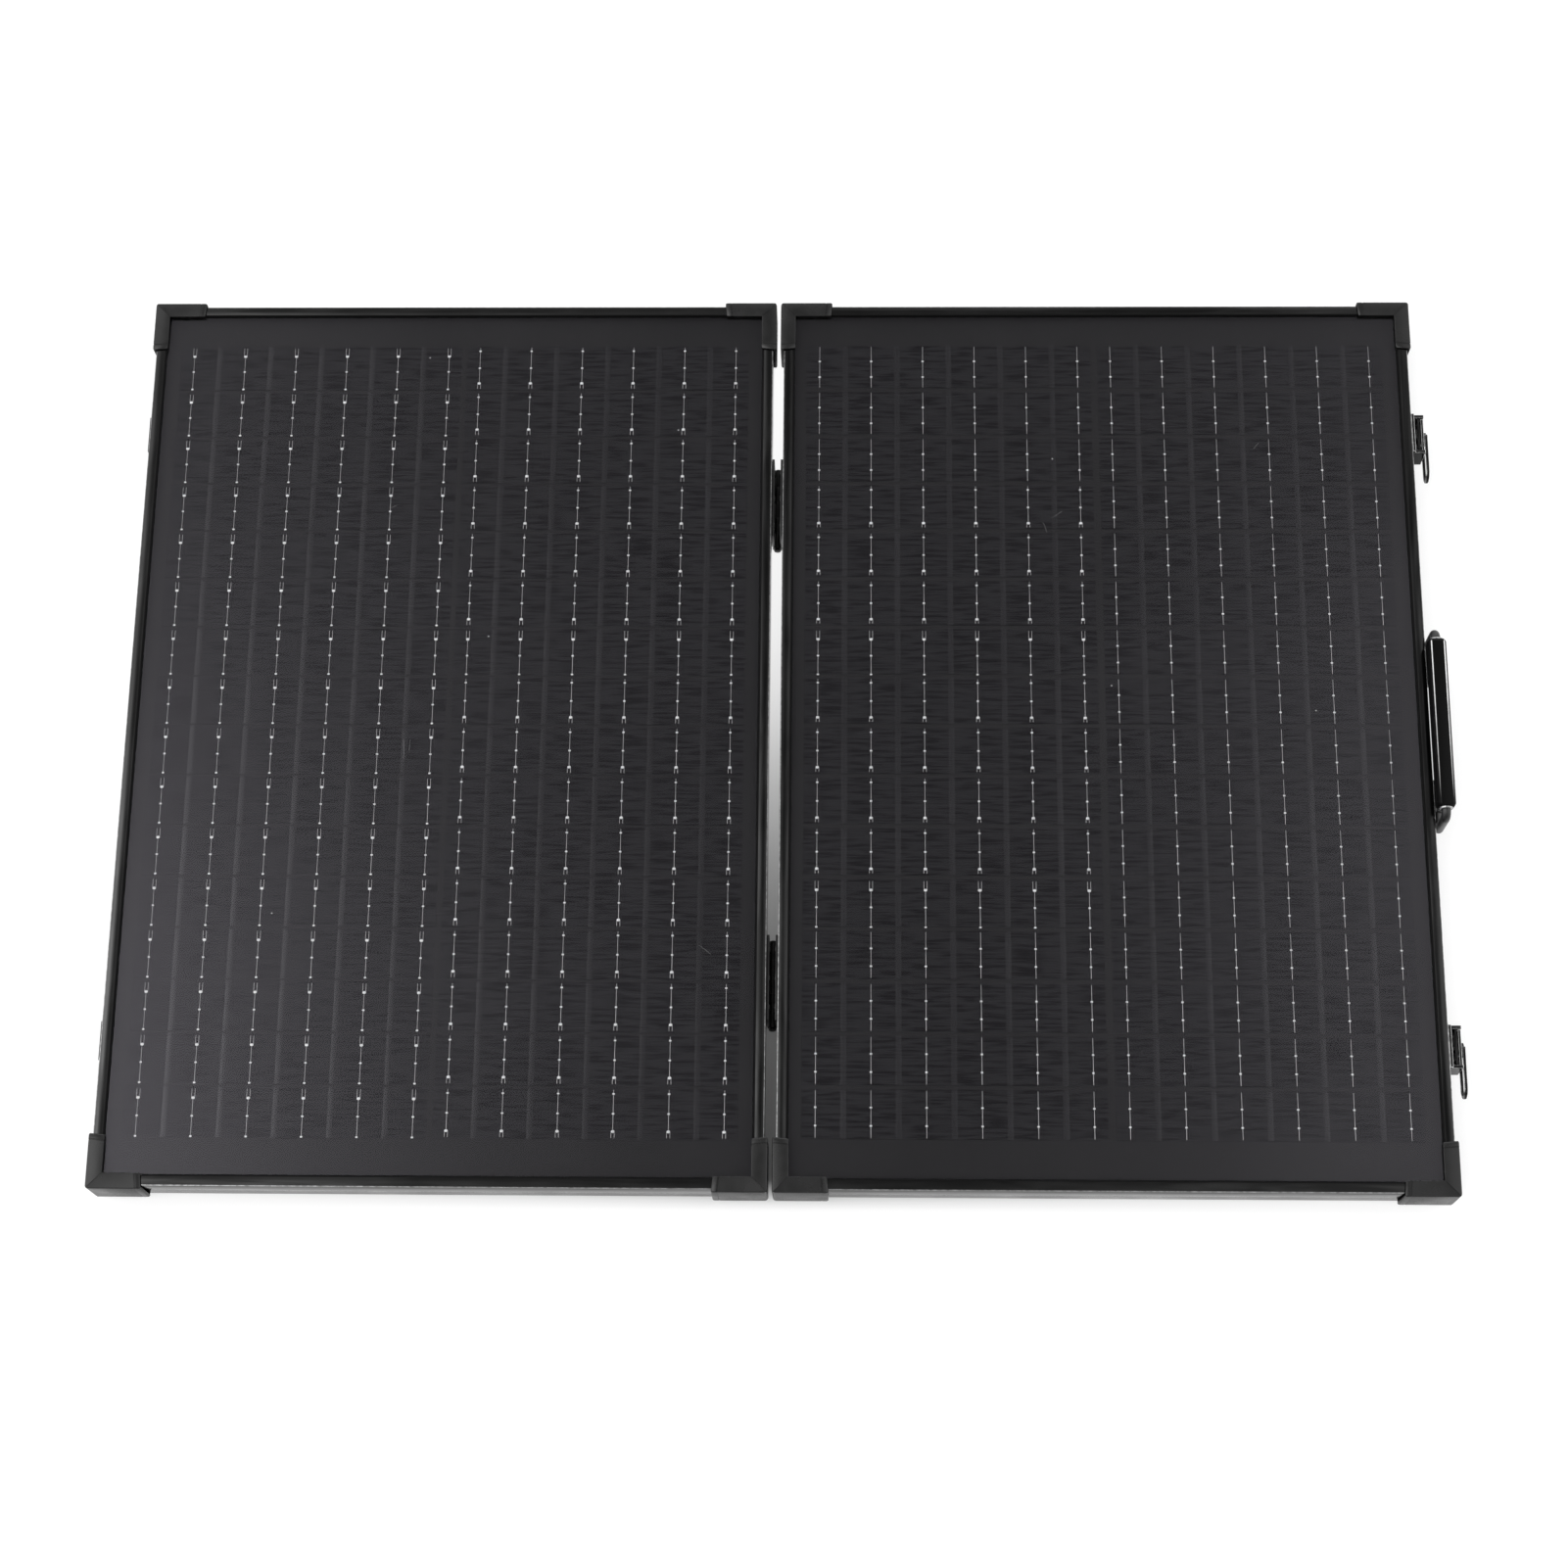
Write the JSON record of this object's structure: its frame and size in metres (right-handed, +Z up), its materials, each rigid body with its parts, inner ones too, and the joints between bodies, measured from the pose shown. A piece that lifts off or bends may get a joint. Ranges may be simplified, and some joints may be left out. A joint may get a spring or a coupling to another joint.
{
  "type": "folding solar suitcase kit",
  "caption": "Two framed photovoltaic panels hinged together as a suitcase, with corner caps, twist latches, carrying handle, kickstands, junction boxes and charge controller.",
  "frame": {"origin": "middle of the footprint, on the floor under the feet, panels open and flat", "axes": "+X across both panels to the handle side, +Y away from the user, +Z up out of the glass"},
  "size_m": [0.8196, 0.5794, 0.0485],
  "materials": {
    "frame": "black anodised aluminium extrusion, satin with long gloss streaks",
    "corner_cap": "moulded dark grey ABS, fine matte grain",
    "glass": "tempered low-iron cover glass, clear, faint reflection",
    "cells": "black shingled monocrystalline cells with fine fingers and round wires",
    "backsheet": "black laminated backsheet, fine matte",
    "junction_box": "black moulded PPO",
    "stand_tube": "black anodised tube",
    "rubber": "soft black rubber",
    "black_steel": "gloss black powder coat",
    "latch_steel": "gloss black plated pressed steel",
    "grip": "black moulded plastic, glossy",
    "display": "grey-green blank liquid crystal display",
    "terminals": "green screw terminal block",
    "controller_case": "black moulded ABS"
  },
  "bodies": {
    "right_panel": {"controller_case": "controller_case", "controller_cover": "controller_case", "controller_display": "display", "controller_terminal_block": "terminals", "far_hinge_leaf_right": "black_steel", "far_hinge_pin": "black_steel", "far_latch_base": "latch_steel", "handle_bracket_far": "black_steel", "handle_bracket_near": "black_steel", "near_hinge_leaf_right": "black_steel", "near_hinge_pin": "black_steel", "near_latch_base": "latch_steel", "right_backsheet": "backsheet", "right_cap_far_inner": "corner_cap", "right_cap_far_outer": "corner_cap", "right_cap_near_inner": "corner_cap", "right_cap_near_outer": "corner_cap", "right_cell_layer": "cells", "right_glass": "glass", "right_junction_box": "junction_box", "right_junction_box_lid": "junction_box", "right_kickstand_bracket_inner": "black_steel", "right_kickstand_bracket_outer": "black_steel", "right_rail_far": "frame", "right_rail_inner": "frame", "right_rail_near": "frame", "right_rail_outer": "frame"},
    "left_panel": {"far_hinge_leaf_left": "black_steel", "far_keeper": "latch_steel", "left_backsheet": "backsheet", "left_cap_far_inner": "corner_cap", "left_cap_far_outer": "corner_cap", "left_cap_near_inner": "corner_cap", "left_cap_near_outer": "corner_cap", "left_cell_layer": "cells", "left_glass": "glass", "left_junction_box": "junction_box", "left_junction_box_lid": "junction_box", "left_kickstand_bracket_inner": "black_steel", "left_kickstand_bracket_outer": "black_steel", "left_rail_far": "frame", "left_rail_inner": "frame", "left_rail_near": "frame", "left_rail_outer": "frame", "near_hinge_leaf_left": "black_steel", "near_keeper": "latch_steel"},
    "left_kickstand": {"left_kickstand": "stand_tube", "left_kickstand_sleeve": "rubber"},
    "right_kickstand": {"right_kickstand": "stand_tube", "right_kickstand_sleeve": "rubber"},
    "handle": {"handle_bail": "black_steel", "handle_grip": "grip"},
    "button_left": {"controller_button_left": "rubber"},
    "button_right": {"controller_button_right": "rubber"},
    "near_latch_cam": {"near_latch_cam": "latch_steel"},
    "near_latch_wing": {"near_latch_wing": "latch_steel"},
    "near_latch_hook": {"near_latch_hook": "latch_steel"},
    "far_latch_cam": {"far_latch_cam": "latch_steel"},
    "far_latch_wing": {"far_latch_wing": "latch_steel"},
    "far_latch_hook": {"far_latch_hook": "latch_steel"}
  },
  "joints": [
    {"name": "fold", "type": "hinge", "parent": "right_panel", "child": "left_panel", "pos_m": [-0.00355, 0, 0.00315], "axis": [0, -1, 0], "range_deg": [0, 180]},
    {"name": "left_kickstand_swing", "type": "hinge", "parent": "left_panel", "child": "left_kickstand", "pos_m": [-0.20655, 0.075, 0.016], "axis": [-1, 0, 0], "range_deg": [-70, 0]},
    {"name": "right_kickstand_swing", "type": "hinge", "parent": "right_panel", "child": "right_kickstand", "pos_m": [0.19945, 0.075, 0.016], "axis": [-1, 0, 0], "range_deg": [-70, 0]},
    {"name": "handle_swing", "type": "hinge", "parent": "right_panel", "child": "handle", "pos_m": [0.40375, 0, 0.0125], "axis": [0, 1, 0], "range_deg": [0, 170]},
    {"name": "near_latch_turn", "type": "hinge", "parent": "right_panel", "child": "near_latch_cam", "pos_m": [0.39895, -0.199, 0.0205], "axis": [-1, 0, 0], "range_deg": [0, 180]},
    {"name": "near_latch_wing_flip", "type": "hinge", "parent": "near_latch_cam", "child": "near_latch_wing", "pos_m": [0.40875, -0.199, 0.0205], "axis": [0, 0, 1], "range_deg": [0, 90]},
    {"name": "near_latch_hook_slide", "type": "slide", "parent": "right_panel", "child": "near_latch_hook", "axis": [0, 0, -1], "range_m": [0, 0.0085]},
    {"name": "far_latch_turn", "type": "hinge", "parent": "right_panel", "child": "far_latch_cam", "pos_m": [0.39895, 0.199, 0.0205], "axis": [-1, 0, 0], "range_deg": [0, 180]},
    {"name": "far_latch_wing_flip", "type": "hinge", "parent": "far_latch_cam", "child": "far_latch_wing", "pos_m": [0.40875, 0.199, 0.0205], "axis": [0, 0, 1], "range_deg": [0, 90]},
    {"name": "far_latch_hook_slide", "type": "slide", "parent": "right_panel", "child": "far_latch_hook", "axis": [0, 0, -1], "range_m": [0, 0.0085]},
    {"name": "button_left_press", "type": "slide", "parent": "right_panel", "child": "button_left", "axis": [0, 0, 1], "range_m": [0, 0.0012], "stiffness_N_per_m": 200, "springref_m": -0.0005},
    {"name": "button_right_press", "type": "slide", "parent": "right_panel", "child": "button_right", "axis": [0, 0, 1], "range_m": [0, 0.0012], "stiffness_N_per_m": 200, "springref_m": -0.0005}
  ],
  "couplings": [
    {"joint": "near_latch_hook_slide", "follows": "near_latch_turn", "m_per_rad": 0.0027055},
    {"joint": "far_latch_hook_slide", "follows": "far_latch_turn", "m_per_rad": 0.0027055}
  ]
}
